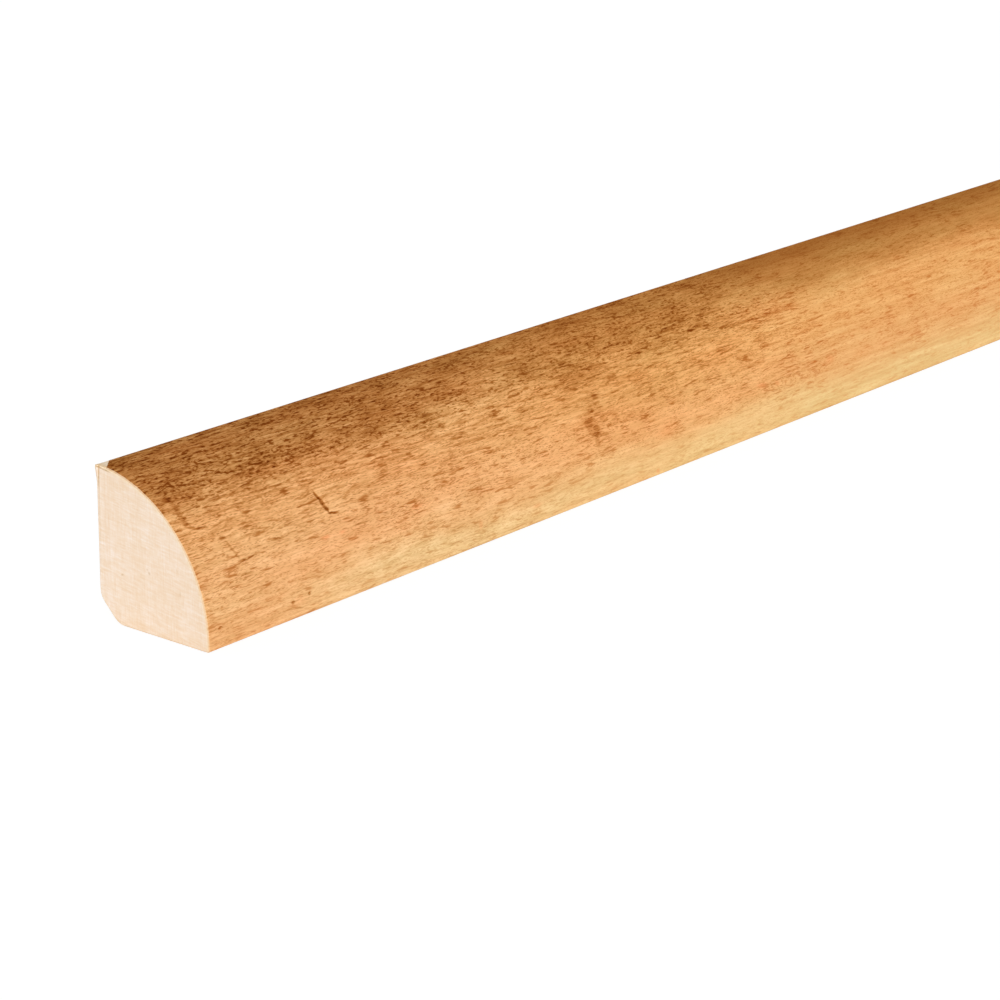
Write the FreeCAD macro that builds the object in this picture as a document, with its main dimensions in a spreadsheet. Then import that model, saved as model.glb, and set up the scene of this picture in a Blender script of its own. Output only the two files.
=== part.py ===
import FreeCAD, Part
import os
import Sketcher
from FreeCAD import Vector

# Quarter round moulding: one length of hardwood trim that covers the joint between a floor and a skirting board.
#
# It is a single milled stick. Its section has a flat floor face and a flat wall face at a right angle, and between
# them one convex arc, a quarter of a round. The arc leaves the front tangent to a narrow upright land at the toe, and
# ends on the wall face at the full height of the section. The corner where floor meets wall is cut back at 45
# degrees, so that the stick seats in a room's corner that is never clean. Both ends are cut square.
#
# Frame: X runs along the stick, Z is up, and the wall face looks towards +Y. The origin is the middle of the box
# that holds the stick, at floor level. Lengths are in millimetres.

OUTPUT_FOLDER = "parts"

# Driving dimensions: alias, value, what it measures
SIZES = [
    ("stock_length", 1981.2, "length that the stick is sold in, 78 in"),
    ("section_height", 19.05, "floor face to the crown, up the wall, 3/4 in"),
    ("section_depth", 17.4625, "wall face to the toe, along the floor, 11/16 in"),
    ("toe_land", 0.8, "upright flat at the toe, below the arc"),
    ("heel_relief", 2.9, "leg of the 45 degree cut at the hidden corner"),
    ("heel_blend", 2.2, "radius where that cut meets the floor and wall faces"),
    ("arris_radius", 0.25, "sanding of the sharp edges at the crown and the toe"),
]

# How a sketch names the ends of a line or an arc, and its own horizontal axis, which starts at the origin
START, END = 1, 2
HORIZONTAL_AXIS = -1


def make_sheet(doc):
    """The sheet that every feature reads its sizes from."""
    sheet = doc.addObject("Spreadsheet::Sheet", "Sizes")
    for row, (alias, value, meaning) in enumerate(SIZES, start=1):
        sheet.set(f"A{row}", alias)
        sheet.set(f"B{row}", repr(float(value)))
        sheet.setAlias(f"B{row}", alias)
        sheet.set(f"C{row}", meaning)
    doc.recompute()
    return sheet


def origin_plane(body, role):
    """One of the body's own origin planes."""
    return next(feature for feature in body.Origin.OriginFeatures if feature.Role == role)


def drive(sketch, name, formula, *constraint):
    """Adds a named dimension to the sketch and ties it to the sizes."""
    index = sketch.addConstraint(Sketcher.Constraint(*constraint))
    sketch.renameConstraint(index, name)
    sketch.setExpression(f"Constraints.{name}", formula)


def draw_section(body, sheet):
    """The closed section in the YZ plane: floor, wall, arc and toe land, with every corner still sharp."""
    depth, height, land = sheet.section_depth, sheet.section_height, sheet.toe_land
    wall_y = depth / 2
    toe_y = -depth / 2
    rise = height - land
    # The only circle that is upright at the top of the land and passes through the crown
    radius = (depth**2 + rise**2) / (2 * depth)

    heel = Vector(wall_y, 0, 0)
    toe = Vector(toe_y, 0, 0)
    land_top = Vector(toe_y, land, 0)
    crown = Vector(wall_y, height, 0)
    centre = Vector(toe_y + radius, land, 0)
    crown_angle = Vector(1, 0, 0).getAngle(crown - centre)
    land_angle = Vector(1, 0, 0).getAngle(land_top - centre)
    circle = Part.Circle(centre, Vector(0, 0, 1), radius)

    sketch = body.newObject("Sketcher::SketchObject", "Section")
    sketch.AttachmentSupport = [(origin_plane(body, "YZ_Plane"), "")]
    sketch.MapMode = "FlatFace"

    floor_line = sketch.addGeometry(Part.LineSegment(toe, heel))
    wall_line = sketch.addGeometry(Part.LineSegment(heel, crown))
    round_arc = sketch.addGeometry(Part.ArcOfCircle(circle, crown_angle, land_angle))
    land_line = sketch.addGeometry(Part.LineSegment(land_top, toe))
    sketch.addConstraint(
        [
            Sketcher.Constraint("Coincident", floor_line, END, wall_line, START),
            Sketcher.Constraint("Coincident", wall_line, END, round_arc, START),
            Sketcher.Constraint("Tangent", round_arc, END, land_line, START),
            Sketcher.Constraint("Coincident", land_line, END, floor_line, START),
            Sketcher.Constraint("Horizontal", floor_line),
            Sketcher.Constraint("Vertical", wall_line),
            Sketcher.Constraint("Vertical", land_line),
            Sketcher.Constraint("PointOnObject", floor_line, END, HORIZONTAL_AXIS),
        ]
    )
    drive(
        sketch, "wall_offset", "Sizes.section_depth / 2",
        "DistanceX", HORIZONTAL_AXIS, START, floor_line, END, wall_y,
    )
    drive(
        sketch, "depth", "Sizes.section_depth",
        "DistanceX", floor_line, START, floor_line, END, depth,
    )
    drive(
        sketch, "height", "Sizes.section_height",
        "DistanceY", wall_line, START, wall_line, END, height,
    )
    drive(
        sketch, "land", "Sizes.toe_land",
        "DistanceY", land_line, END, land_line, START, land,
    )
    return sketch


def long_edge(shape, y, z):
    """The name of the edge that runs the length of the stick at this point of the section."""
    tolerance = 1e-4
    for number, edge in enumerate(shape.Edges, start=1):
        ends = [vertex.Point for vertex in edge.Vertexes]
        on_line = all(abs(end.y - y) < tolerance and abs(end.z - z) < tolerance for end in ends)
        if len(ends) == 2 and on_line:
            return f"Edge{number}"
    raise RuntimeError(f"no long edge at y={y:.3f}, z={z:.3f}")


def dress(body, kind, name, base, corners, size, alias):
    """A chamfer or a fillet on the long edges of base at these corners of the section."""
    feature = body.newObject(kind, name)
    feature.Base = (base, [long_edge(base.Shape, y, z) for y, z in corners])
    feature.setExpression(size, f"Sizes.{alias}")
    body.Document.recompute()
    return feature


def make_moulding(doc, sheet):
    """The whole stick, as one body made from its section."""
    body = doc.addObject("PartDesign::Body", "QuarterRound")
    body.Label = "quarter_round"

    stick = body.newObject("PartDesign::Pad", "Stick")
    stick.Profile = draw_section(body, sheet)
    stick.SideType = "Symmetric"
    stick.setExpression("Length", "Sizes.stock_length")
    doc.recompute()

    wall_y = sheet.section_depth / 2
    toe_y = -sheet.section_depth / 2
    relief = sheet.heel_relief
    heel = [(wall_y, 0)]
    heel_cut_edges = [(wall_y, relief), (wall_y - relief, 0)]
    sharp_edges = [(wall_y, sheet.section_height), (toe_y, 0)]

    cut = dress(body, "PartDesign::Chamfer", "HeelRelief", stick, heel, "Size", "heel_relief")
    blend = dress(body, "PartDesign::Fillet", "HeelBlend", cut, heel_cut_edges, "Radius", "heel_blend")
    body.Tip = dress(body, "PartDesign::Fillet", "Arrises", blend, sharp_edges, "Radius", "arris_radius")
    doc.recompute()
    return body


def check(doc, bodies):
    """Stops before anything is written if a feature failed or a solid is not sound."""
    for item in doc.Objects:
        if {"Invalid", "Error"} & set(item.State):
            raise RuntimeError(f"{item.Label} did not build: {item.State}")
    for body in bodies:
        shape = body.Shape
        if shape.isNull() or not shape.isValid() or len(shape.Solids) != 1:
            raise RuntimeError(f"{body.Label} is not one valid solid")


def main():
    doc = FreeCAD.newDocument("QuarterRoundMoulding")
    sheet = make_sheet(doc)
    moulding = make_moulding(doc, sheet)
    check(doc, [moulding])

    os.makedirs(OUTPUT_FOLDER, exist_ok=True)
    moulding.Shape.exportStep(os.path.join(OUTPUT_FOLDER, f"{moulding.Label}.step"))

    box = moulding.Shape.BoundBox
    section_area = moulding.Shape.Volume / box.XLength
    print(f"{moulding.Label}: {box.XLength:.2f} x {box.YLength:.2f} x {box.ZLength:.2f} mm")
    print(f"section area {section_area:.2f} mm2, volume {moulding.Shape.Volume:.0f} mm3")
    return doc


main()
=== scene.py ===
import math

import bpy
import numpy as np
from mathutils import Matrix, Vector


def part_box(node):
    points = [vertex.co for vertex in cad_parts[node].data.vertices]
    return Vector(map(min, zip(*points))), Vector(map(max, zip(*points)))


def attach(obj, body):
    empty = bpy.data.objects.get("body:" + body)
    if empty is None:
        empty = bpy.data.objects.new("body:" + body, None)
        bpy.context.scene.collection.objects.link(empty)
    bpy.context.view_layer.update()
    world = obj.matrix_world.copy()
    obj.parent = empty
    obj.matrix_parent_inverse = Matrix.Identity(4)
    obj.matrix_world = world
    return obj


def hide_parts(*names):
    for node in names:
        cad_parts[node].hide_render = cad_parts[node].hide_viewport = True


# Quarter round moulding: the looks of one stick of stained hardwood trim.
#
# The stick is one swept mesh with the section of its solid. Its curved face and toe land are stained and varnished,
# its floor, wall and relief faces are bare planed wood, and both ends are bare sawn end grain. Lengths are in
# millimetres, measured from the near end along the stick (x), from the middle of the section towards the wall (y)
# and up from the floor (z). A place on the curved face is given by x and s, the way round the section from the top
# of the toe land up to the crown.

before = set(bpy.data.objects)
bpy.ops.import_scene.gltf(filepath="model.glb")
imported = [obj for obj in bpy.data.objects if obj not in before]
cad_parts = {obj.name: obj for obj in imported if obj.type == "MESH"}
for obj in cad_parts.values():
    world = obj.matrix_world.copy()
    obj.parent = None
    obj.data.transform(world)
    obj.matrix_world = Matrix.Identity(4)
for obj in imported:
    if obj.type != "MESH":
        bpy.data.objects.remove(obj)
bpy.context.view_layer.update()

NODE = "quarter_round"
MM = 0.001

# Section, as the solid has it
box_low, box_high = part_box(NODE)
LENGTH = (box_high.x - box_low.x) / MM
DEPTH = (box_high.y - box_low.y) / MM
CROWN_HEIGHT = 19.05
TOE_LAND = 0.8
HEEL_RELIEF = 2.9
HEEL_BLEND = 2.2
ARRIS = 0.25
WALL_Y = DEPTH / 2
TOE_Y = -DEPTH / 2
ROUND_RADIUS = (DEPTH**2 + (CROWN_HEIGHT - TOE_LAND) ** 2) / (2 * DEPTH)
FACE_WIDTH = ROUND_RADIUS * math.acos((ROUND_RADIUS - DEPTH) / ROUND_RADIUS)

# Steps of each run of the section, and how close to both ends of a straight run it has one more point
ARRIS_STEPS = 2
LAND_STEPS = 2
FACE_STEPS = 76
CROWN_STEPS = 4
WALL_STEPS = 9
TURN_STEPS = 3
RELIEF_STEPS = 2
FLOOR_STEPS = 7
SUPPORT = 0.15
LAND_SUPPORT = 0.1

# Sawn ends: the worn edge, its turns, and the rings that fill the flat face as shares of the section
END_ARRIS = 0.14
END_TURNS = (0, 0.5, 1.0, math.pi / 2)
CAP_SHARES = (0.2, 0.4, 0.6, 0.76, 0.87, 0.93, 0.96, 0.975, 0.985, 0.993)

# Stretches of the stick with one ring spacing each: where each ends, and the spacing
NEAR_STRETCH = 220.0
NEAR_SPACINGS = ((4.0, 0.2), (22.2, 0.8), (24.6, 0.1), (71.0, 0.8), (80.0, 0.4), (NEAR_STRETCH, 1.0))
FAR_STRETCHES = 4
FAR_SPACING = 8.0
LAST_STRETCH = 3.0
LAST_SPACING = 0.5

# Break-out at the near end's crown: its reach along the stick and across, and its depth at the corner
CHIP_LENGTH = 2.2
CHIP_WIDTH = 1.7
CHIP_DEPTH = 0.12

# Sliver of raised wood on the wall edge of the near end, and the split beside it
BURR_HEIGHT = 2.2
BURR_LENGTH = 0.9
BURR_PROUD = 0.28
SPLIT_INSET = 0.32
SPLIT_WIDTH = 0.16
SPLIT_DEPTH = 0.15

# Scratch and pin knot in the curved face: places as x and s
SCRATCH_TOP = (22.7, 12.9)
SCRATCH_FOOT = (23.9, 9.9)
SCRATCH_WIDTH = 0.16
SCRATCH_DEPTH = 0.1
KNOT = (75.0, 8.7)
KNOT_RADIUS = 1.7
KNOT_DEPTH = 0.05

# Surface map: its side and gaps, and the heights of its strips, in pixels
MAP_SIDE = 1024
MAP_GAP = 3
NEAR_STRIP = 240
FAR_STRIP = 140
RAW_STRIP = 98
RAW_STRIP_LENGTH = 740

# Camera, measured from the near end's floor corner at the wall
LENS = 106.98
SENSOR = 36.0
CAMERA_PLACE = (-226.37, -239.36, 122.71)
CAMERA_YAW = 38.472
CAMERA_PITCH = 18.245
CAMERA_ROLL = -0.657

# Studio: where each lamp stands as seen from the stick, its strength and its width in degrees
KEY_LAMP = ((-0.70, -0.67, 0.24), 2.5, 50)
FILL_LAMP = ((0.50, 0.80, 0.15), 0.8, 60)
AMBIENT = 0.46

# Floor: its reach in metres, how far it lies below the stick, and its colour, glow and shade
FLOOR_REACH = 60.0
FLOOR_DROP = 0.05
FLOOR_COLOUR = 0.85
FLOOR_GLOW = 0.85
FLOOR_SHADE = 0.25

# Wood and finish. Each dye is what one unit of it absorbs of red, green and blue.
BARE_WOOD = (0.93, 0.76, 0.61)
GOLD = (0.905, 0.62, 0.3)
BROWN_DYE = (1.0, 1.45, 2.25)
FLECK_DYE = (1.0, 1.62, 2.5)
ORANGE_DYE = (0.0, 0.24, 0.34)
AGE_DYE = (0.25, 0.6, 1.2)
AMBER_DYE = (0.0, 0.2, 1.0)

# Patterns of the wood: the size of a spot in millimetres along each axis, a seed, detail and roughness
PATTERNS = {
    # Stained face: how its grain runs, its broad tones, its marks from long to short, and the edge of its coat
    "bend": ((30, 12, 1), 1, 1.0, 0.5),
    "slip": ((40, 0.4, 1), 16, 1.0, 0.5),
    "band_edge": ((12, 9, 1), 2, 3.0, 0.6),
    "warmth": ((20, 4, 1), 11, 2.0, 0.5),
    "patch": ((4.0, 2.2, 1), 3, 3.0, 0.6),
    "column": ((2.0, 7, 1), 4, 2.0, 0.5),
    "line": ((16, 0.7, 1), 9, 2.0, 0.5),
    "strand": ((6.0, 0.3, 1), 13, 1.0, 0.5),
    "fibre": ((2.8, 0.34, 1), 8, 1.5, 0.5),
    "spot": ((2.2, 0.4, 1), 5, 1.0, 0.5),
    "grit": ((0.8, 0.35, 1), 17, 1.0, 0.5),
    "coat_edge": ((1.2, 0.5, 1), 14, 3.0, 0.5),
    # Bare planed faces
    "bare_ring": ((60, 1.6, 1), 13, 1.0, 0.5),
    "bare_fibre": ((6, 0.3, 1), 12, 3.0, 0.6),
    "knife_drift": ((8, 9, 1), 15, 2.0, 0.5),
    # Sawn ends, where the axes are x, y and z
    "rays": ((5, 6, 0.3), 21, 3.0, 0.6),
    "teeth": ((5, 1.3, 0.2), 24, 1.0, 0.5),
    "threads": ((5, 0.22, 1.8), 26, 1.0, 0.5),
    "pores": ((5, 0.3, 0.3), 22, 2.0, 0.5),
    "rings": ((9, 1.6, 14), 23, 2.0, 0.5),
    "close_rings": ((9, 0.4, 20), 25, 1.0, 0.5),
}
SEED_STEP = (7.31, 3.17, 5.77)

# Dashes: the size of the cell that each has, a seed, where a dash fades in, and the share of the palest one
DASH_SIZE = (3.2, 0.66, 1)
DASH_SEED = 6
DASH_EDGE = (-0.1, 0.18)
PALEST_DASH = 0.5

# Small steps that roughen outlines: their reach along x and s, and the size and seed of those of marks and of grain
STEP_REACH = (0.6, 0.3, 0)
MARK_STEPS = (0.8, 10)
GRAIN_STEPS = (1.1, 12)

# How the grain runs: how far it bends and slips, and how it falls away above the s from which its rays lie so flat to
# the face that they spread over it
BEND_REACH = 0.8
SLIP_REACH = 8
GRAZING = 13
GRAZING_FALL = 0.012

# Lower edge of the dark band: its usual height as s, how far it wanders and fades, and where it dips or climbs: x,
# half width, climb
BAND_EDGE = 16.8
BAND_WANDER = 6
BAND_FADE = 3
BAND_WAVES = ((10, 12, -0.8), (61, 16, 3.2), (76, 10, -1.8), (94, 12, -1.4), (122, 18, 2.4), (165, 45, 1.6))

# Zones of the stained face: each is 0 at its first place and 1 at its second, along x or s
FACE_ZONES = {
    "off_cut": ("x", 5, 40),
    "ambered": ("x", 30, 100),
    "near": ("x", 75, 50),
    "beyond": ("x", 50, 75),
    "far": ("x", 108, 130),
    "calm_start": ("x", 108, 140),
    "calm_end": ("x", 250, 205),
    "by_toe": ("s", 6.5, 0.5),
    "low": ("s", 6, 2),
    "above_toe": ("s", 1, 9),
    "ambered_face": ("s", 3, 12),
    "below_band": ("s", 14, 7),
    "middle": ("s", 7, 15),
    "gritty": ("s", 12, 19),
    "top": ("s", 16, 20),
    "fading_top": ("s", 16, 22),
    "crown_side": ("s", 21, 25),
    "crown": ("s", 21, 27),
}

# Calm stretch, where the grain is fainter: the share of its contrast that is left, how much stronger the flecks are
# for that, and how much fainter still the fibres and the grit
CALM_SHARE = 0.35
CALM_FLECKS = 0.4
CALM_FIBRES = 0.35
CALM_GRIT = 0.7

# How the flecks gather in patches and columns, and where a spot fades in
PATCH_GATHER = 0.5
COLUMN_GATHER = 0.35
SPOT_GATHER = 0.8
SPOT_GRIT = 1.1
SPOT_EDGE = (0.08, 0.26)
DASH_FILL = 0.5
DASH_GATHER = 1.3
PALEST_FIBRE = -0.07

# Amounts of each dye, of dye in each pattern and of what else varies: the same everywhere, and more or less by zone
# or pattern
AMOUNTS = {
    # Brown: stain all over, deeper in the band and toward the crown, where it is partly stain and partly painted shade
    # of the upper round
    "brown_stain_and_top_shade": {
        "middle": 0.06,
        "band": 0.25,
        "crown": 0.14,
        "near_top": 0.07,
        "far": 0.05,
        "far_middle": -0.11,
        "far_crown": 0.1,
    },
    "patch": {"everywhere": 0.32, "band": 0.38},
    "fleck": {"everywhere": 0.26, "above_toe": 0.26, "middle": 0.1, "band": 0.12, "near_top": 0.08},
    "grit": {"everywhere": 0.4},
    "fibre": {"everywhere": 0.22, "middle": 0.92, "near_top": 0.15},
    "strand": {"everywhere": 0.35, "middle": 0.2},
    "line": {"everywhere": 0.2, "calm": 0.15},
    "stain": {"everywhere": 0.75, "fleck": 0.7, "fibre": 1.6},
    "orange": {"everywhere": 1.0, "pale_toe": -1.0, "middle": 0.1, "warmth": 1.1, "red": 0.5, "low_fleck": 0.5},
    "far_orange": {"everywhere": 2.4, "band": -1.4},
    "amber": {"middle": 0.08, "ambered": 0.1, "ambered_top": 0.08},
    "contrast_lost_beyond": {"everywhere": 0.1, "low": 0.35, "fading_top": 0.1},
    "pale_toe": {"everywhere": 0.25, "off_cut": 0.75},
    "bare_age": {
        "everywhere": 0.1,
        "chipped": -0.3,
        "fleck": 0.25,
        "fibre": 0.45,
        "ring": 0.4,
        "knives": 0.015,
        "cut": 0.3,
    },
    "end_age": {
        "everywhere": 0.06,
        "rays": 0.3,
        "teeth": 0.4,
        "threads": 0.3,
        "pores": 0.15,
        "rings": 0.2,
        "close_rings": 0.35,
        "foot": 0.08,
        "rim": -0.08,
    },
    # Painted shade in the split beside the sliver, stronger toward the top
    "split_shade": {"everywhere": 0.06, "split_top": 0.22},
    # Painted shade in a line under the chip, varying with the pores pattern
    "end_shade": {"everywhere": 0.3, "pores": 0.8},
}

# How much less orange the far stretch is, and the share of a dark mark that is its heart
FAR_PALENESS = 0.15
MARK_HEART = 0.3

# Edges of the coat: how ragged they are, more finely at the chip and the cut, and where it fades at the toe, past the
# crown and at the cut
COAT_RAGGED = 1.2
CHIP_RAGGED = 0.08
CUT_RAGGED = 0.06
COAT_FADE = 0.2
COAT_PAST_CROWN = 0.1
COAT_START = (0.08, 0.16)

# Bare wood: where that of the chip fades in, along it and by the distance below the crown, its amber, and how far
# from the cut the planed faces are darker
CHIP_FADE = 0.04
CHIP_BELOW_CROWN = (1.0, 0.6)
CHIP_AMBER = 0.2
CUT_REACH = 1.0

# Planer marks across the bare faces
KNIFE_SPACING = 1.5
KNIFE_DRIFT = 2

# Relief in millimetres, and roughness
FIBRE_RELIEF = 0.004
KNIFE_RELIEF = 0.002
FLECK_RELIEF = 0.003
END_RELIEF = {"rays": 0.02, "teeth": 0.02, "pores": 0.03}
BARE_ROUGHNESS = 0.74
COAT_SMOOTHING = 0.14
END_ROUGHNESS = {"everywhere": 0.8, "pores": 0.1}
END_SPECULAR = 0.1

# Sawn ends: the fall of the wood's rays for each millimetre towards the toe, and their zones, by the distance from
# the wall (inset), the height (z) or the distance in from the round (depth)
RAY_TILT = 0.12
END_ZONES = {
    "by_wall": ("inset", 3.0, 1.6),
    "by_chip": ("inset", 2.4, 1.8),
    "foot": ("z", 1.6, 0.5),
    "split_length": ("z", 6, 12),
    "split_top": ("z", 15.5, 17.5),
    "rim": ("depth", 0.5, 0.15),
}
# Painted shade in the split beside the sliver: how it fades across the split
SPLIT_SHADE_FADE = (0.2, 0.05)
# Painted shade in a line under the chip: how far in from the round it lies, and how it fades
SHADE_DEPTH = 0.35
SHADE_FADE = (0.14, 0.02)
SPECK_HEART = 0.2
RIM_AMBER = 0.16

# Dark marks in the stained face: x, s, half length, half width, slope in degrees and strength
DARK_MARKS = (
    # Scratch and the tail at its foot
    (22.9, 12.3, 1.0, 0.32, -71, 0.95),
    (23.2, 11.4, 1.1, 0.45, -74, 0.95),
    (23.5, 10.5, 0.9, 0.32, -68, 0.95),
    (24.1, 9.85, 1.0, 0.24, -12, 0.8),
    # Column of stain near the cut, and the tail at its foot
    (2.1, 18.1, 0.9, 0.6, 0, 0.8),
    (2.3, 16.3, 2.5, 0.6, 85, 0.4),
    (2.6, 16.9, 0.8, 0.3, 0, 0.7),
    (1.9, 16.1, 0.7, 0.25, 0, 0.5),
    (2.4, 15.2, 0.6, 0.3, 0, 0.7),
    (2.2, 14.4, 0.7, 0.35, 0, 0.8),
    (2.6, 13.8, 0.8, 0.28, -15, 0.8),
    (3.9, 13.4, 1.4, 0.26, -6, 0.7),
    # Curl
    (6.1, 11.5, 0.8, 0.3, 0, 0.55),
    (6.8, 9.9, 2.0, 0.3, -68, 0.35),
    (7.7, 8.3, 0.8, 0.2, 0, 0.5),
    (9.2, 8.35, 1.2, 0.15, 3, 0.35),
    # Pin knot and the specks round it
    (75.1, 8.7, 2.4, 1.7, -25, 0.3),
    (74.7, 9.7, 1.7, 0.55, 12, 0.62),
    (74.6, 9.0, 1.3, 0.5, 5, 0.6),
    (75.7, 8.5, 1.0, 0.7, 0, 0.7),
    (75.3, 7.7, 1.2, 0.55, -5, 0.65),
    (75.0, 6.7, 0.8, 1.0, 0, 0.25),
    (77.6, 9.3, 1.3, 0.8, 0, 0.25),
    (76.8, 7.4, 1.6, 0.35, -5, 0.4),
    (76.1, 10.9, 0.7, 0.35, 0, 0.4),
    (77.4, 11.7, 0.6, 0.25, 5, 0.3),
    (78.4, 8.4, 0.8, 0.22, 5, 0.45),
    (80.8, 7.6, 0.7, 0.16, 0, 0.45),
    (78.0, 12.7, 1.0, 0.5, 0, 0.35),
    (75.3, 14.4, 0.8, 0.3, 0, 0.35),
    (78.3, 16.1, 1.2, 0.35, 8, 0.35),
    (77.0, 18.7, 0.9, 0.4, 0, 0.4),
    (79.5, 21.6, 0.8, 0.35, 0, 0.4),
    # Broad stain
    (5.5, 20.0, 5.0, 3.0, 0, 0.06),
    (19.2, 18.3, 2.8, 1.9, -15, 0.15),
    (32.0, 25.5, 7.0, 2.2, 0, 0.12),
    (41.5, 21.2, 4.5, 3.0, 10, 0.2),
    (88.0, 10.0, 12.0, 7.0, 0, 0.08),
    # Clusters in and below the dark band, from the cut on
    (5.3, 17.6, 1.2, 0.5, 0, 0.45),
    (6.3, 18.4, 0.6, 0.35, 0, 0.4),
    (5.1, 16.1, 0.6, 0.25, 0, 0.4),
    (7.8, 6.6, 1.4, 0.22, -6, 0.35),
    (8.6, 13.2, 1.2, 0.2, 0, 0.35),
    (10.7, 15.1, 0.7, 0.2, 0, 0.3),
    (11.3, 18.0, 1.3, 0.4, 8, 0.5),
    (14.0, 9.2, 1.6, 0.25, -8, 0.35),
    (16.0, 17.9, 0.5, 0.3, 0, 0.5),
    (17.3, 17.4, 2.4, 0.45, 0, 0.3),
    (19.9, 17.9, 1.0, 0.6, -10, 0.5),
    (20.4, 16.7, 0.9, 0.45, 0, 0.4),
    (28.0, 7.5, 1.6, 0.18, -4, 0.35),
    (28.3, 19.6, 0.9, 0.4, -8, 0.4),
    (30.2, 17.1, 0.5, 1.0, 10, 0.35),
    (33.9, 18.6, 0.9, 0.55, 10, 0.4),
    (40.7, 13.5, 0.6, 0.4, -10, 0.4),
    (44.0, 17.9, 1.6, 0.3, 2, 0.35),
    (47.3, 17.75, 2.0, 0.25, -3, 0.4),
    (48.8, 15.7, 0.6, 1.2, 0, 0.25),
    (51.5, 13.8, 1.0, 0.35, -20, 0.35),
    (67.2, 16.9, 0.9, 0.35, 5, 0.35),
    (70.3, 24.2, 1.2, 0.5, 15, 0.35),
    (79.2, 19.7, 0.8, 0.5, -5, 0.35),
    (80.7, 16.6, 1.3, 0.3, 6, 0.35),
    (82.8, 6.0, 0.9, 0.3, 0, 0.35),
    (84.4, 20.4, 1.2, 0.5, 5, 0.35),
    (86.4, 10.6, 0.6, 0.22, 0, 0.35),
    (88.0, 18.9, 2.6, 0.25, 0, 0.35),
    (91.3, 10.3, 0.9, 0.35, 0, 0.35),
    (91.0, 16.6, 1.6, 0.35, -6, 0.35),
    (95.2, 15.3, 1.1, 0.3, -10, 0.35),
    (100.0, 18.5, 3.0, 0.5, 5, 0.3),
    (105.8, 17.4, 3.2, 0.5, 10, 0.3),
    # Specks by the toe
    (2.0, 1.7, 0.6, 0.28, 0, 0.3),
    (14.3, 1.4, 0.4, 0.4, 0, 0.4),
    (17.1, 1.7, 0.35, 0.35, 0, 0.45),
    (15.4, 0.4, 0.8, 0.22, -10, 0.4),
    # Edges of growth rings
    (122.0, 15.65, 19.0, 0.35, -0.6, 0.2),
    (124.0, 11.2, 12.0, 0.3, 0.5, 0.15),
    (122.0, 6.1, 11.0, 0.35, -0.5, 0.12),
)

# Reddish spots in the stained face, given in the same way
RED_MARKS = (
    (21.6, 7.4, 1.3, 0.45, 0, 1.6),
    (24.5, 7.3, 0.8, 0.4, 0, 1.4),
    (38.2, 7.1, 1.8, 0.5, 0, 1.4),
    (2.0, 1.7, 0.7, 0.4, 0, 0.8),
    (15.4, 1.2, 2.2, 1.2, 0, 0.6),
    (49.2, 2.0, 0.7, 1.0, 0, 1.2),
    (60.8, 1.6, 1.5, 0.5, 0, 1.2),
    (87.2, -0.1, 0.6, 0.5, 0, 2.0),
    (90.0, 4.8, 4.0, 1.6, 5, 1.0),
    (113.5, 6.1, 2.0, 0.6, -5, 1.6),
    (117.2, 5.7, 0.9, 0.6, -20, 1.4),
    (131.3, 6.2, 2.0, 0.9, 5, 1.2),
)

# Specks in the near end, given in the same way with the distance from the wall and the height for x and s
END_SPECKS = (
    (-8.2, 7.5, 0.3, 0.22, 60, 0.16),
    (-7.9, 7.9, 0.2, 0.15, 0, 0.12),
    (-3.8, 6.35, 0.3, 0.18, -20, 0.16),
    (-13.1, 6.1, 0.55, 0.12, 90, 0.1),
    (-12.7, 8.8, 0.5, 0.1, 60, 0.06),
    (-8.8, 11.2, 0.6, 0.08, 85, 0.07),
    (-11.6, 13.0, 0.3, 0.15, 90, 0.06),
)


def arc(centre, radius, start, end, steps):
    """Points of an arc in the section, as y and z, between two angles in degrees from the wall's direction."""
    angles = np.radians(np.linspace(start, end, steps + 1))
    return np.column_stack([centre[0] + radius * np.cos(angles), centre[1] + radius * np.sin(angles)])


def line(start, end, steps, support):
    """Points of a straight run in the section, with one more close to each end so that it shades flat."""
    start, end = np.array(start), np.array(end)
    near = support / np.linalg.norm(end - start)
    shares = np.concatenate([[0], np.linspace(near, 1 - near, steps), [1]])
    return start + shares[:, None] * (end - start)


def unit(vectors):
    return vectors / np.linalg.norm(vectors, axis=-1, keepdims=True)


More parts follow.
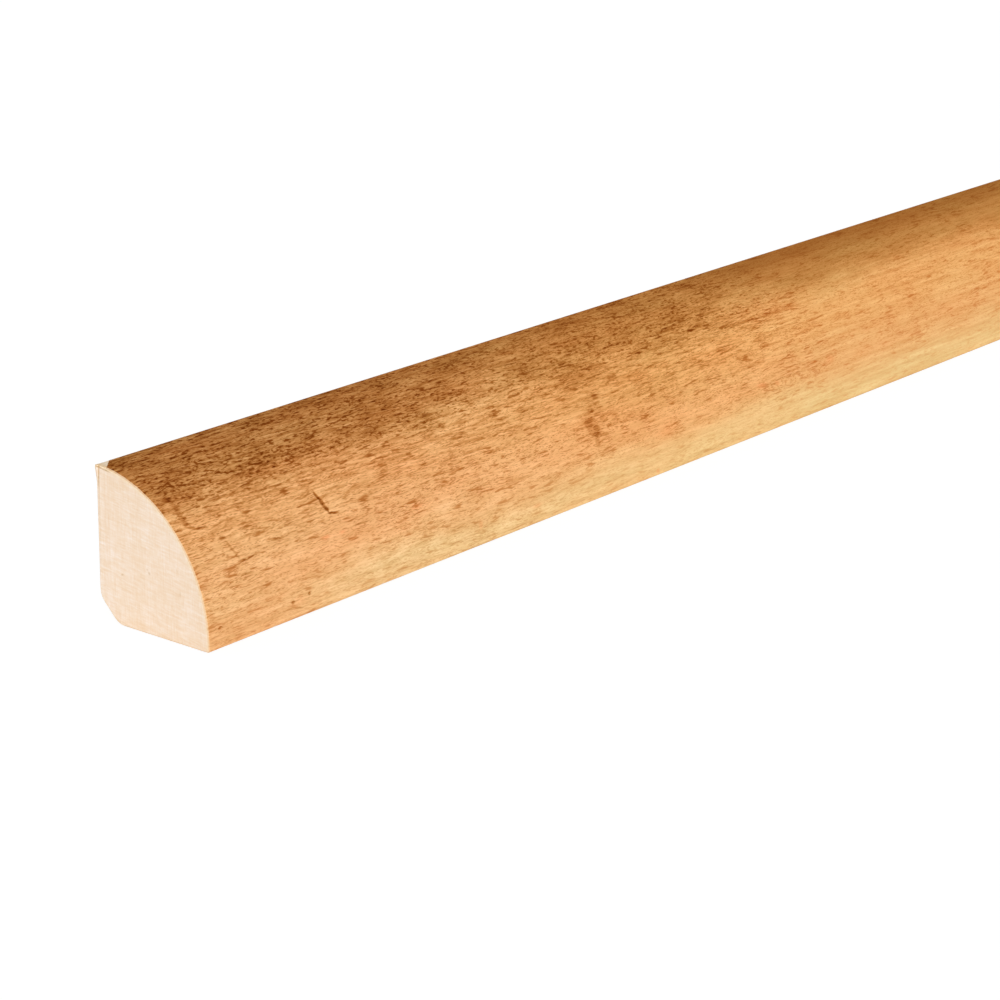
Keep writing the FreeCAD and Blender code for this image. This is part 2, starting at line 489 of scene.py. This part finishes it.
class Section:
    """The closed outline of the section, from the middle of the toe arris up the round, down the wall and back.

    points are y and z, outward the directions out of the wood, and s the way round, which has one value more than
    there are points, for the closing side. Sides before crown are finished, the others bare.
    """

    def __init__(self):
        centre_y = TOE_Y + ROUND_RADIUS
        crown_y = WALL_Y - ARRIS
        crown_z = TOE_LAND + math.sqrt((ROUND_RADIUS - ARRIS) ** 2 - (crown_y - centre_y) ** 2)
        crown_angle = math.degrees(math.atan2(crown_z - TOE_LAND, crown_y - centre_y))
        blend_reach = HEEL_BLEND * math.tan(math.radians(22.5))
        blend_z = HEEL_RELIEF + blend_reach
        blend_y = WALL_Y - HEEL_RELIEF - blend_reach
        toe_centre = (TOE_Y + ARRIS, ARRIS)

        toe_up = arc(toe_centre, ARRIS, 225, 180, ARRIS_STEPS)
        land = line((TOE_Y, ARRIS), (TOE_Y, TOE_LAND), LAND_STEPS, LAND_SUPPORT)
        face = arc((centre_y, TOE_LAND), ROUND_RADIUS, 180, crown_angle, FACE_STEPS)
        crown = arc((crown_y, crown_z), ARRIS, crown_angle, 0, CROWN_STEPS)
        wall = line((WALL_Y, crown_z), (WALL_Y, blend_z), WALL_STEPS, SUPPORT)
        wall_turn = arc((WALL_Y - HEEL_BLEND, blend_z), HEEL_BLEND, 0, -45, TURN_STEPS)
        floor_turn = arc((blend_y, HEEL_BLEND), HEEL_BLEND, -45, -90, TURN_STEPS)
        relief = line(wall_turn[-1], floor_turn[0], RELIEF_STEPS, SUPPORT)
        floor = line((blend_y, 0), (TOE_Y + ARRIS, 0), FLOOR_STEPS, SUPPORT)
        toe_under = arc(toe_centre, ARRIS, 270, 225, ARRIS_STEPS)

        runs = [toe_up, land, face, crown, wall, wall_turn, relief, floor_turn, floor, toe_under]
        loop = np.concatenate([run[:-1] for run in runs] + [toe_under[-1:]])
        travel = np.concatenate([[0], np.cumsum(np.linalg.norm(np.diff(loop, axis=0), axis=1))])
        land_top = len(toe_up) + len(land) - 2

        self.points = loop[:-1]
        self.count = len(self.points)
        self.crown = land_top + len(face) - 1 + len(crown) // 2
        self.s = travel - travel[land_top]
        self.middle = self.points.mean(axis=0)
        ahead = unit(np.roll(self.points, -1, axis=0) - self.points)
        tangent = unit(ahead + np.roll(ahead, 1, axis=0))
        self.outward = np.column_stack([-tangent[:, 1], tangent[:, 0]])


def steps(start, end, spacing):
    """Places from start to end, without end, close to the spacing asked for."""
    return list(np.linspace(start, end, max(1, round((end - start) / spacing)), endpoint=False))


def stretch_ends():
    """Where the near stretch and each far stretch of the stick begin and end."""
    return np.concatenate([[0], np.linspace(NEAR_STRETCH, LENGTH, FAR_STRETCHES + 1)])


def ring_places():
    """x of every full ring of the mesh, close together at both ends and where the near end has its marks."""
    places = []
    start = END_ARRIS
    for end, spacing in NEAR_SPACINGS:
        places += steps(start, end, spacing)
        start = end
    ends = stretch_ends()
    for start, end in zip(ends[1:-2], ends[2:-1]):
        places += steps(start, end, FAR_SPACING)
    places += steps(ends[-2], LENGTH - LAST_STRETCH, FAR_SPACING)
    places += steps(LENGTH - LAST_STRETCH, LENGTH - END_ARRIS, LAST_SPACING)
    return places + [LENGTH - END_ARRIS]


def rings():
    """The mesh's rings from the middle of the near end to that of the far end: x, share of the section, inset."""
    worn = [(END_ARRIS * (1 - math.sin(turn)), END_ARRIS * (1 - math.cos(turn))) for turn in END_TURNS]
    near_edge = [(x, 1.0, inset) for inset, x in worn][:-1]
    near = [(0.0, share, END_ARRIS) for share in CAP_SHARES] + near_edge
    body = [(x, 1.0, 0.0) for x in ring_places()]
    far = [(LENGTH - x, share, inset) for x, share, inset in reversed(near)]
    return near + body + far


def smooth(value, low, high):
    """0 below low, 1 above high and a smooth rise between; the other way round where low is above high."""
    share = np.clip((value - low) / (high - low), 0, 1)
    return share * share * (3 - 2 * share)


def distance_to_segment(x, s, start, end):
    """Distance on the curved face from each place to a straight mark."""
    run = np.array(end) - np.array(start)
    share = np.clip(((x - start[0]) * run[0] + (s - start[1]) * run[1]) / (run @ run), 0, 1)
    return np.hypot(x - start[0] - share * run[0], s - start[1] - share * run[1])


def worn_depth(x, s):
    """How deep the scratch and the pin knot lie below the face."""
    scratch = SCRATCH_DEPTH * smooth(distance_to_segment(x, s, SCRATCH_TOP, SCRATCH_FOOT), SCRATCH_WIDTH, 0)
    knot = KNOT_DEPTH * smooth(np.hypot(x - KNOT[0], s - KNOT[1]), KNOT_RADIUS, 0)
    return scratch + knot


def chip_near_corner(points):
    """Cuts the crown's corner at the near end down to one slanting facet."""
    inner_y = WALL_Y - CHIP_WIDTH
    inner_z = TOE_LAND + math.sqrt(ROUND_RADIUS**2 - (inner_y - TOE_Y - ROUND_RADIUS) ** 2)
    corner_z = CROWN_HEIGHT - CHIP_DEPTH
    along = (CROWN_HEIGHT - corner_z) / CHIP_LENGTH
    across = (corner_z - inner_z) / CHIP_WIDTH
    facet = corner_z + along * points[..., 0] - across * (WALL_Y - points[..., 1])
    reached = points[..., 0] < CHIP_LENGTH
    points[..., 2] = np.where(reached, np.minimum(points[..., 2], facet), points[..., 2])


def raise_burr(points, outward_y):
    """Lifts the sliver on the near end's wall edge and opens the split beside it."""
    x, y, z = points[..., 0], points[..., 1], points[..., 2]
    up = smooth(z, CROWN_HEIGHT - BURR_HEIGHT, CROWN_HEIGHT - BURR_HEIGHT / 2)
    at_wall = smooth(y, WALL_Y - SPLIT_INSET, WALL_Y)
    inset = np.abs(y - (WALL_Y - SPLIT_INSET))
    split = SPLIT_DEPTH * up * smooth(inset, SPLIT_WIDTH, 0) * smooth(x, SPLIT_DEPTH, 0)
    proud = BURR_PROUD * up * at_wall * smooth(x, BURR_LENGTH, 0) * np.clip(outward_y, 0, 1)
    points[..., 0] = x + split
    points[..., 1] = y + proud


def stick_points(section, places):
    """Every ring's points as x, y and z, with the marks of the near end and the face."""
    x, share, inset = (np.array(column)[:, None] for column in zip(*places))
    outline = section.points - inset[..., None] * section.outward
    outline = section.middle + share[..., None] * (outline - section.middle)
    whole = share == 1
    s = section.s[:-1]
    outline = outline - np.where(whole, worn_depth(x, s), 0)[..., None] * section.outward
    points = np.concatenate([np.broadcast_to(x[..., None], outline.shape[:2] + (1,)), outline], axis=-1)
    chip_near_corner(points)
    raise_burr(points, section.outward[:, 0])
    return points


class SurfaceMap:
    """Where each part of the surface lies on the map that carries its colours, as shares of the map's side.

    From the bottom up: the near stretch of the face, its far stretches, and then the bare faces in two strips with
    both ends beside them.
    """

    def __init__(self, section):
        self.section = section
        self.ends = stretch_ends()
        self.face_s = (section.s[0], section.s[section.crown])
        self.raw_s = (section.s[section.crown], section.s[-1])
        heights = [NEAR_STRIP] + [FAR_STRIP] * FAR_STRETCHES + [RAW_STRIP] * 2
        tops = np.cumsum([height + MAP_GAP for height in heights])
        self.strips = [(top - height, top) for top, height in zip(tops, heights)]

    def strip(self, number, x, s, x_range, s_range, length):
        """A rectangle of the surface laid into one strip of the map."""
        low, high = self.strips[number]
        u = MAP_GAP + (x - x_range[0]) / (x_range[1] - x_range[0]) * (length - 2 * MAP_GAP)
        v = low + (s - s_range[0]) / (s_range[1] - s_range[0]) * (high - low)
        return np.stack([u, v], axis=-1) / MAP_SIDE

    def face(self, stretch, x, s):
        x_range = self.ends[stretch : stretch + 2]
        return self.strip(stretch, x, s, x_range, self.face_s, MAP_SIDE)

    def bare(self, stretch, x, s):
        half = 0 if stretch <= FAR_STRETCHES // 2 else 1
        cut = self.ends[FAR_STRETCHES // 2 + 1]
        x_range = (0, cut) if half == 0 else (cut, LENGTH)
        return self.strip(1 + FAR_STRETCHES + half, x, s, x_range, self.raw_s, RAW_STRIP_LENGTH)

    def end(self, number, y, z):
        """The near end, number 0, or the far end, number 1, laid flat beside the bare strips."""
        width = (MAP_SIDE - RAW_STRIP_LENGTH) / 2 - MAP_GAP
        scale = width / DEPTH
        low = self.strips[1 + FAR_STRETCHES][0]
        u = RAW_STRIP_LENGTH + number * (width + MAP_GAP) + (y - TOE_Y) * scale
        v = low + z * scale
        return np.stack([u, v], axis=-1) / MAP_SIDE


def build_stick():
    """The whole stick as one closed mesh with its surface map and, on each corner of a face, its x and s."""
    section = Section()
    surface = SurfaceMap(section)
    places = rings()
    points = stick_points(section, places)
    count = section.count
    cap_rings = len(CAP_SHARES)
    last = len(places) - 1

    middle_y, middle_z = section.middle
    vertices = [(0.0, middle_y, middle_z), *points.reshape(-1, 3), (LENGTH, middle_y, middle_z)]
    far_middle = len(vertices) - 1
    faces, map_places, grain_places, is_end = [], [], [], []

    def corner(ring, side):
        return 1 + ring * count + side % count

    def add(corners, map_place, x, s, end):
        faces.append(corners)
        map_places.append(map_place)
        grain_places.append(np.column_stack([x, s, np.zeros(len(x))]))
        is_end.append(end)

    def add_end(corners, number):
        spots = np.array([vertices[index] for index in corners])
        add(corners, surface.end(number, spots[:, 1], spots[:, 2]), spots[:, 0], np.zeros(len(corners)), True)

    for side in range(count):
        add_end((0, corner(0, side), corner(0, side + 1)), 0)
    for ring in range(last):
        x = np.array([places[index][0] for index in (ring, ring + 1, ring + 1, ring)])
        stretch = int(np.searchsorted(surface.ends, x.mean(), side="right")) - 1
        for side in range(count):
            corners = (corner(ring, side), corner(ring + 1, side), corner(ring + 1, side + 1), corner(ring, side + 1))
            if ring < cap_rings:
                add_end(corners, 0)
            elif ring >= last - cap_rings:
                add_end(corners, 1)
            else:
                s = section.s[[side, side, side + 1, side + 1]]
                lay = surface.face if side < section.crown else surface.bare
                add(corners, lay(stretch, x, s), x, s, False)
    for side in range(count):
        add_end((far_middle, corner(last, side + 1), corner(last, side)), 1)

    mesh = bpy.data.meshes.new("moulding")
    origin = np.array([box_low.x, 0, 0])
    mesh.from_pydata((np.array(vertices) * MM + origin).tolist(), [], faces)
    mesh.uv_layers.new(name="OFBake").data.foreach_set("uv", np.concatenate(map_places).ravel())
    grain = mesh.attributes.new("grain_place", "FLOAT_VECTOR", "CORNER")
    grain.data.foreach_set("vector", np.concatenate(grain_places).ravel())
    mesh.polygons.foreach_set("material_index", np.array(is_end, dtype=int))
    mesh.polygons.foreach_set("use_smooth", ~np.array(is_end))
    mesh.update()
    stick = bpy.data.objects.new("moulding", mesh)
    bpy.context.scene.collection.objects.link(stick)
    return stick, section


class Field:
    """One output of a material's nodes, a number or a vector at every place, which sums and products can use."""

    def __init__(self, graph, socket):
        self.graph = graph
        self.socket = socket

    def __add__(self, other):
        return self.graph.math("ADD", self, other)

    def __sub__(self, other):
        return self.graph.math("SUBTRACT", self, other)

    def __rsub__(self, other):
        return self.graph.math("SUBTRACT", other, self)

    def __mul__(self, other):
        return self.graph.math("MULTIPLY", self, other)

    def __truediv__(self, other):
        return self.graph.math("DIVIDE", self, other)

    def __abs__(self):
        return self.graph.math("ABSOLUTE", self)

    __radd__ = __add__
    __rmul__ = __mul__

    def rise(self, low, high):
        """0 below low, 1 above high and a smooth rise between; the other way round where low is above high."""
        inputs = {"Value": self, "From Min": low, "From Max": high}
        return self.graph.add("MapRange", inputs, interpolation_type="SMOOTHSTEP")


class Graph:
    """The nodes of one material, or of the world."""

    def __init__(self, tree):
        self.tree = tree
        self.tree.nodes.clear()

    def node(self, kind, inputs, **settings):
        """Adds a node. Its inputs are numbers, colours or fields."""
        node = self.tree.nodes.new("ShaderNode" + kind)
        for name, value in settings.items():
            setattr(node, name, value)
        for key, value in inputs.items():
            if isinstance(value, Field):
                self.tree.links.new(value.socket, node.inputs[key])
            else:
                node.inputs[key].default_value = value
        return node

    def add(self, kind, inputs, output=0, **settings):
        """Adds a node and gives one of its outputs."""
        return Field(self, self.node(kind, inputs, **settings).outputs[output])

    def math(self, operation, *values):
        return self.add("Math", dict(enumerate(values)), operation=operation)

    def measure(self, operation, *vectors):
        """A number worked out from vectors."""
        return self.add("VectorMath", dict(enumerate(vectors)), "Value", operation=operation)

    def vector(self, x, y, z):
        return self.add("CombineXYZ", {"X": x, "Y": y, "Z": z})

    def split(self, vector):
        node = self.node("SeparateXYZ", {"Vector": vector})
        return [Field(self, output) for output in node.outputs]

    def scaled(self, place, size, seed):
        """The place in units of this size along each axis, moved to a part of the pattern of its own."""
        inputs = {0: place, 1: [1 / side for side in size], 2: [seed * step for step in SEED_STEP]}
        return self.add("VectorMath", inputs, operation="MULTIPLY_ADD")

    def noise(self, place, pattern):
        """Smooth noise about 0 in one of the patterns of the wood."""
        size, seed, detail, roughness = PATTERNS[pattern]
        inputs = {"Vector": self.scaled(place, size, seed), "Scale": 1.0, "Detail": detail, "Roughness": roughness}
        return self.add("TexNoise", inputs) - 0.5

    def dashes(self, place, fill):
        """Level dashes, one in each cell: 1 at their hearts. The more fill, the longer they are."""
        inputs = {"Vector": self.scaled(place, DASH_SIZE, DASH_SEED)}
        node = self.node("TexVoronoi", inputs, voronoi_dimensions="2D")
        distance, colour = (Field(self, node.outputs[name]) for name in ("Distance", "Color"))
        reach, depth, _ = self.split(colour)
        return (reach * fill - distance).rise(*DASH_EDGE) * (PALEST_DASH + (1 - PALEST_DASH) * depth)

    def shaken(self, place, flat, size, seed):
        """The place moved by a small step, which changes over the face in spots of this size."""
        inputs = {"Vector": self.scaled(flat, (size, size, size), seed), "Scale": 1.0, "Detail": 2.0}
        share = self.add("TexNoise", inputs, "Color")
        back = [-reach / 2 for reach in STEP_REACH]
        step = self.add("VectorMath", {0: share, 1: STEP_REACH, 2: back}, operation="MULTIPLY_ADD")
        return self.add("VectorMath", {0: step, 1: place}, operation="ADD")

    def marks(self, place, marks, heart):
        """Soft ellipses, each given by its place, half length, half width, slope and strength.

        They fade in from their outline to their heart, which is this share of them.
        """
        strongest = 0.0
        for x, s, half_length, half_width, slope, strength in marks:
            cosine, sine = math.cos(math.radians(slope)), math.sin(math.radians(slope))
            offset = self.add("VectorMath", {0: place, 1: (x, s, 0)}, operation="SUBTRACT")
            along = self.measure("DOT_PRODUCT", offset, (cosine / half_length, sine / half_length, 0))
            across = self.measure("DOT_PRODUCT", offset, (-sine / half_width, cosine / half_width, 0))
            distance = self.measure("LENGTH", self.vector(along, across, 0.0))
            strongest = self.math("MAXIMUM", distance.rise(1, heart) * strength, strongest)
        return strongest

    def blend(self, share, first, second):
        """The first colour where share is 0 and the second where it is 1."""
        node = self.node("Mix", {}, data_type="RGBA")
        sockets = {socket.identifier: socket for socket in node.inputs}
        for key, field in zip(("Factor_Float", "A_Color", "B_Color"), (share, first, second)):
            self.tree.links.new(field.socket, sockets[key])
        return Field(self, next(socket for socket in node.outputs if socket.identifier == "Result_Color"))

    def dyed(self, ground, layers):
        """The ground colour seen through layers of dye, each an amount and what one unit of it absorbs."""
        channels = []
        for channel, light in enumerate(ground):
            depth = sum(amount * -absorbed[channel] for amount, absorbed in layers)
            channels.append(self.math("EXPONENT", depth) * light)
        inputs = dict(zip(("Red", "Green", "Blue"), channels))
        return self.add("CombineColor", inputs)

    def surface(self, colour, roughness, height, specular):
        """Ends the material: its colour, its roughness, its relief in millimetres and how strongly it reflects."""
        bump = self.add("Bump", {"Height": height, "Strength": 1.0, "Distance": MM})
        inputs = {"Base Color": colour, "Roughness": roughness, "Normal": bump, "Specular IOR Level": specular}
        shader = self.add("BsdfPrincipled", inputs)
        self.node("OutputMaterial", {"Surface": shader})


def new_material(name):
    """A new material and the graph of its nodes."""
    material = bpy.data.materials.new(name)
    material.use_nodes = True
    return material, Graph(material.node_tree)


def grain_space(graph):
    """x, s, y and z in millimetres at every place of the stick."""
    x, s, _ = graph.split(graph.add("Attribute", {}, "Vector", attribute_name="grain_place"))
    _, y, z = graph.split(graph.add("TexCoord", {}, "Object"))
    return x, s, y * (1 / MM), z * (1 / MM)


def faded(zones, **places):
    """The fields of these zones by name, from the places along each axis."""
    return {name: places[axis].rise(start, end) for name, (axis, start, end) in zones.items()}


def total(amounts, fields):
    """The sum of the fields that amounts names, each times its amount. The amount everywhere stands alone."""
    return sum(amount * (1.0 if name == "everywhere" else fields[name]) for name, amount in amounts.items())


def dark_band(graph, x, s, flat):
    """1 in the dark band below the crown and 0 below its ragged lower edge: partly deeper stain, partly painted shade
    of the upper round.
    """
    edge = BAND_EDGE - graph.noise(flat, "band_edge") * BAND_WANDER
    for middle, reach, climb in BAND_WAVES:
        edge = edge + abs(x - middle).rise(reach, 0) * climb
    return (s - edge).rise(-BAND_FADE, BAND_FADE)


def face_zones(graph, x, s, flat):
    """The zones of the stained face by name: 1 inside each and 0 outside."""
    zones = faded(FACE_ZONES, x=x, s=s)
    zones["band"] = dark_band(graph, x, s, flat)
    zones["calm"] = zones["calm_start"] * zones["calm_end"]
    zones["near_top"] = zones["near"] * zones["top"]
    zones["far_middle"] = zones["far"] * zones["middle"] * (1 - zones["band"])
    zones["far_crown"] = zones["far"] * zones["crown_side"]
    zones["ambered_top"] = zones["ambered"] * zones["ambered_face"]
    zones["pale_toe"] = zones["by_toe"] * total(AMOUNTS["pale_toe"], zones)
    return zones


def face_grain(graph, x, s, flat, zones):
    """The patterns and marks of the stained face by name."""
    over = graph.math("MINIMUM", graph.math("MAXIMUM", s - GRAZING, 0.0), FACE_WIDTH - GRAZING)
    bend = graph.noise(flat, "bend") * BEND_REACH
    slip = graph.noise(flat, "slip") * SLIP_REACH
    streak = graph.vector(x + slip, s - over * over * GRAZING_FALL + bend, 0.0)
    rough = graph.shaken(streak, flat, *GRAIN_STEPS)
    jagged = graph.shaken(flat, flat, *MARK_STEPS)

    patch = graph.noise(streak, "patch")
    gather = patch * PATCH_GATHER + graph.noise(flat, "column") * COLUMN_GATHER
    grit = graph.noise(flat, "grit") * zones["gritty"] * (1 - zones["calm"] * CALM_GRIT)
    spot = graph.noise(rough, "spot") + gather * SPOT_GATHER + grit * SPOT_GRIT
    dash = graph.dashes(rough, DASH_FILL + gather * DASH_GATHER)
    fleck = graph.math("MAXIMUM", spot.rise(*SPOT_EDGE), dash)
    return {
        "patch": patch,
        "grit": grit,
        "fleck": fleck,
        "low_fleck": fleck * zones["below_band"],
        "fibre": graph.math("MAXIMUM", graph.noise(rough, "fibre"), PALEST_FIBRE),
        "strand": graph.math("MAXIMUM", graph.noise(streak, "strand"), PALEST_FIBRE),
        "line": graph.noise(streak, "line"),
        "warmth": graph.noise(flat, "warmth"),
        "stain": graph.marks(jagged, DARK_MARKS, MARK_HEART),
        "red": graph.marks(jagged, RED_MARKS, 0),
    }


def finished_wood(graph, x, s, flat):
    """The dyes in the stained face, each with its amount, and where its dark flecks are. The brown darkens the upper
    round partly as stain and partly as painted shade.
    """
    zones = face_zones(graph, x, s, flat)
    marks = face_grain(graph, x, s, flat, zones)
    calm = zones["calm"]
    lost = zones["beyond"] * total(AMOUNTS["contrast_lost_beyond"], zones)
    contrast = (1 - calm * (1 - CALM_SHARE)) * (1 - lost)
    fibre_contrast = contrast * (1 - calm * CALM_FIBRES)
    contrasts = {
        "fleck": contrast * (1 + calm * CALM_FLECKS),
        "grit": contrast,
        "fibre": fibre_contrast,
        "strand": fibre_contrast,
        "line": 1.0,
    }
    dark = marks["stain"] * total(AMOUNTS["stain"], marks)
    for name, share in contrasts.items():
        dark = dark + marks[name] * total(AMOUNTS[name], zones) * share

    # The brown deepens toward the crown: partly stain, partly painted shade of the upper round
    brown_stain_and_top_shade = total(AMOUNTS["brown_stain_and_top_shade"], zones) + marks["patch"] * total(AMOUNTS["patch"], zones) * contrast
    far_orange = (dark * total(AMOUNTS["far_orange"], zones) - FAR_PALENESS) * zones["far"]
    orange = total(AMOUNTS["orange"], {**zones, **marks}) + far_orange
    amber = total(AMOUNTS["amber"], zones)
    dyes = [(brown_stain_and_top_shade, BROWN_DYE), (dark, FLECK_DYE), (orange, ORANGE_DYE), (amber, AMBER_DYE)]
    return dyes, marks["fleck"]


def stick_material(section):
    """Stained and varnished round, bare planed wood on the faces that aren't seen when it is fitted."""
    material, graph = new_material("stained_and_planed_wood")
    x, s, y, z = grain_space(graph)
    flat = graph.vector(x, s, 0.0)
    dyes, fleck = finished_wood(graph, x, s, flat)
    finished = graph.dyed(GOLD, dyes)

    toe_s, crown_s = section.s[0], section.s[section.crown] + COAT_PAST_CROWN
    ragged = graph.noise(flat, "coat_edge") * COAT_RAGGED
    chip = 1 - x / CHIP_LENGTH - (WALL_Y - y) / CHIP_WIDTH + ragged * CHIP_RAGGED
    chipped = chip.rise(0, CHIP_FADE) * z.rise(*(CROWN_HEIGHT - below for below in CHIP_BELOW_CROWN))
    coated = (s - ragged).rise(toe_s - COAT_FADE, toe_s) * (s + ragged).rise(crown_s + COAT_FADE, crown_s)
    coat = coated * (x + ragged * CUT_RAGGED).rise(*COAT_START) * (1 - chipped)

    fibre = graph.noise(flat, "bare_fibre")
    drift = graph.noise(flat, "knife_drift") * KNIFE_DRIFT
    knives = graph.math("SINE", (x + drift) * (2 * math.pi / KNIFE_SPACING))
    fields = {
        "chipped": chipped,
        "fleck": fleck,
        "fibre": fibre,
        "ring": graph.noise(flat, "bare_ring"),
        "knives": knives,
        "cut": x.rise(CUT_REACH, 0.0),
    }
    bare = graph.dyed(BARE_WOOD, [(total(AMOUNTS["bare_age"], fields), AGE_DYE), (chipped * CHIP_AMBER, AMBER_DYE)])

    colour = graph.blend(coat, bare, finished)
    height = (fibre * FIBRE_RELIEF + knives * KNIFE_RELIEF) * (1 - coat) - fleck * FLECK_RELIEF
    graph.surface(colour, BARE_ROUGHNESS - coat * COAT_SMOOTHING, height, 0.0)
    return material


def end_material():
    """Bare sawn end grain: rays as fine level lines, rings as upright bands that show most by the wall, and specks."""
    material, graph = new_material("bare_end_grain")
    x, _, y, z = grain_space(graph)
    inset = WALL_Y - y
    from_centre = graph.vector(y - (TOE_Y + ROUND_RADIUS), z - TOE_LAND, 0.0)
    depth = ROUND_RADIUS - graph.measure("LENGTH", from_centre)
    fields = faded(END_ZONES, inset=inset, z=z, depth=depth)
    leaf = graph.vector(x, y, z - y * RAY_TILT)
    for name in ("rays", "teeth", "threads", "pores", "rings"):
        fields[name] = graph.noise(leaf, name)
    fields["close_rings"] = graph.noise(leaf, "close_rings") * fields["by_wall"]

    # Painted shade in the split beside the raised sliver, darkest toward the top
    split = abs(inset - SPLIT_INSET).rise(*SPLIT_SHADE_FADE) * total(AMOUNTS["split_shade"], fields) * fields["split_length"]
    # Painted shade: a dark line just in from the round, under the chip by the wall
    shade = abs(depth - SHADE_DEPTH).rise(*SHADE_FADE) * total(AMOUNTS["end_shade"], fields) * fields["by_chip"]
    specks = graph.marks(graph.vector(y - WALL_Y, z, 0.0), END_SPECKS, SPECK_HEART)
    layers = [
        (total(AMOUNTS["end_age"], fields), AGE_DYE),
        (split + specks + shade, BROWN_DYE),
        (fields["rim"] * RIM_AMBER, AMBER_DYE),
    ]
    roughness, height = total(END_ROUGHNESS, fields), total(END_RELIEF, fields)
    graph.surface(graph.dyed(BARE_WOOD, layers), roughness, height, END_SPECULAR)
    return material


def place_camera():
    yaw, pitch, roll = (math.radians(angle) for angle in (CAMERA_YAW, CAMERA_PITCH, CAMERA_ROLL))
    forward = Vector((math.cos(yaw) * math.cos(pitch), math.sin(yaw) * math.cos(pitch), -math.sin(pitch)))
    level = Vector((math.sin(yaw), -math.cos(yaw), 0))
    steep = forward.cross(level)
    right = math.cos(roll) * level + math.sin(roll) * steep
    down = -math.sin(roll) * level + math.cos(roll) * steep
    camera = bpy.data.objects.new("camera", bpy.data.cameras.new("camera"))
    camera.data.lens = LENS
    camera.data.sensor_width = SENSOR
    camera.data.clip_end = 2 * FLOOR_REACH
    place = Vector(CAMERA_PLACE) * MM + Vector((box_low.x, box_high.y, 0))
    camera.matrix_world = Matrix.Translation(place) @ Matrix((right, -down, -forward)).transposed().to_4x4()
    bpy.context.scene.collection.objects.link(camera)
    bpy.context.scene.camera = camera


def add_lamp(name, direction, strength, width):
    """A broad far lamp that shines from this direction."""
    lamp = bpy.data.objects.new(name, bpy.data.lights.new(name, "SUN"))
    lamp.data.energy = strength
    lamp.data.angle = math.radians(width)
    lamp.rotation_euler = Vector(direction).to_track_quat("Z", "Y").to_euler()
    bpy.context.scene.collection.objects.link(lamp)


def seen_directly(graph):
    """1 for what the camera, a reflection or clear glass shows, 0 for the light that falls on things."""
    path = graph.node("LightPath", {})
    rays = [Field(graph, path.outputs[name]) for name in ("Is Camera Ray", "Is Glossy Ray", "Is Transmission Ray")]
    return graph.math("MAXIMUM", graph.math("MAXIMUM", rays[0], rays[1]), rays[2])


def light_studio():
    add_lamp("key", *KEY_LAMP)
    add_lamp("fill", *FILL_LAMP)
    world = bpy.data.worlds.new("studio")
    world.use_nodes = True
    graph = Graph(world.node_tree)
    strength = AMBIENT + seen_directly(graph) * (1 - AMBIENT)
    light = graph.add("Background", {"Color": (1, 1, 1, 1), "Strength": strength})
    graph.node("OutputWorld", {"Surface": light})
    bpy.context.scene.world = world


def lay_floor():
    """A wide pale floor, white where the camera sees it apart from the stick's soft shadow."""
    material, graph = new_material("floor")
    plain = graph.add("BsdfDiffuse", {"Color": (FLOOR_COLOUR,) * 3 + (1,)})
    shade = graph.add("BsdfDiffuse", {"Color": (FLOOR_SHADE,) * 3 + (1,)})
    glow = graph.add("Emission", {"Color": (1, 1, 1, 1), "Strength": FLOOR_GLOW})
    shown = graph.add("AddShader", {0: shade, 1: glow})
    surface = graph.add("MixShader", {0: seen_directly(graph), 1: plain, 2: shown})
    graph.node("OutputMaterial", {"Surface": surface})

    mesh = bpy.data.meshes.new("floor")
    reach, top = FLOOR_REACH, -FLOOR_DROP * MM
    corners = [(-reach, -reach, top), (reach, -reach, top), (reach, reach, top), (-reach, reach, top)]
    mesh.from_pydata(corners, [], [(0, 1, 2, 3)])
    mesh.materials.append(material)
    floor = bpy.data.objects.new("floor", mesh)
    bpy.context.scene.collection.objects.link(floor)


bpy.context.scene.view_settings.view_transform = "Standard"
place_camera()
light_studio()
lay_floor()

stick, section = build_stick()
stick.data.materials.append(stick_material(section))
stick.data.materials.append(end_material())
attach(stick, "root")
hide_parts(NODE)
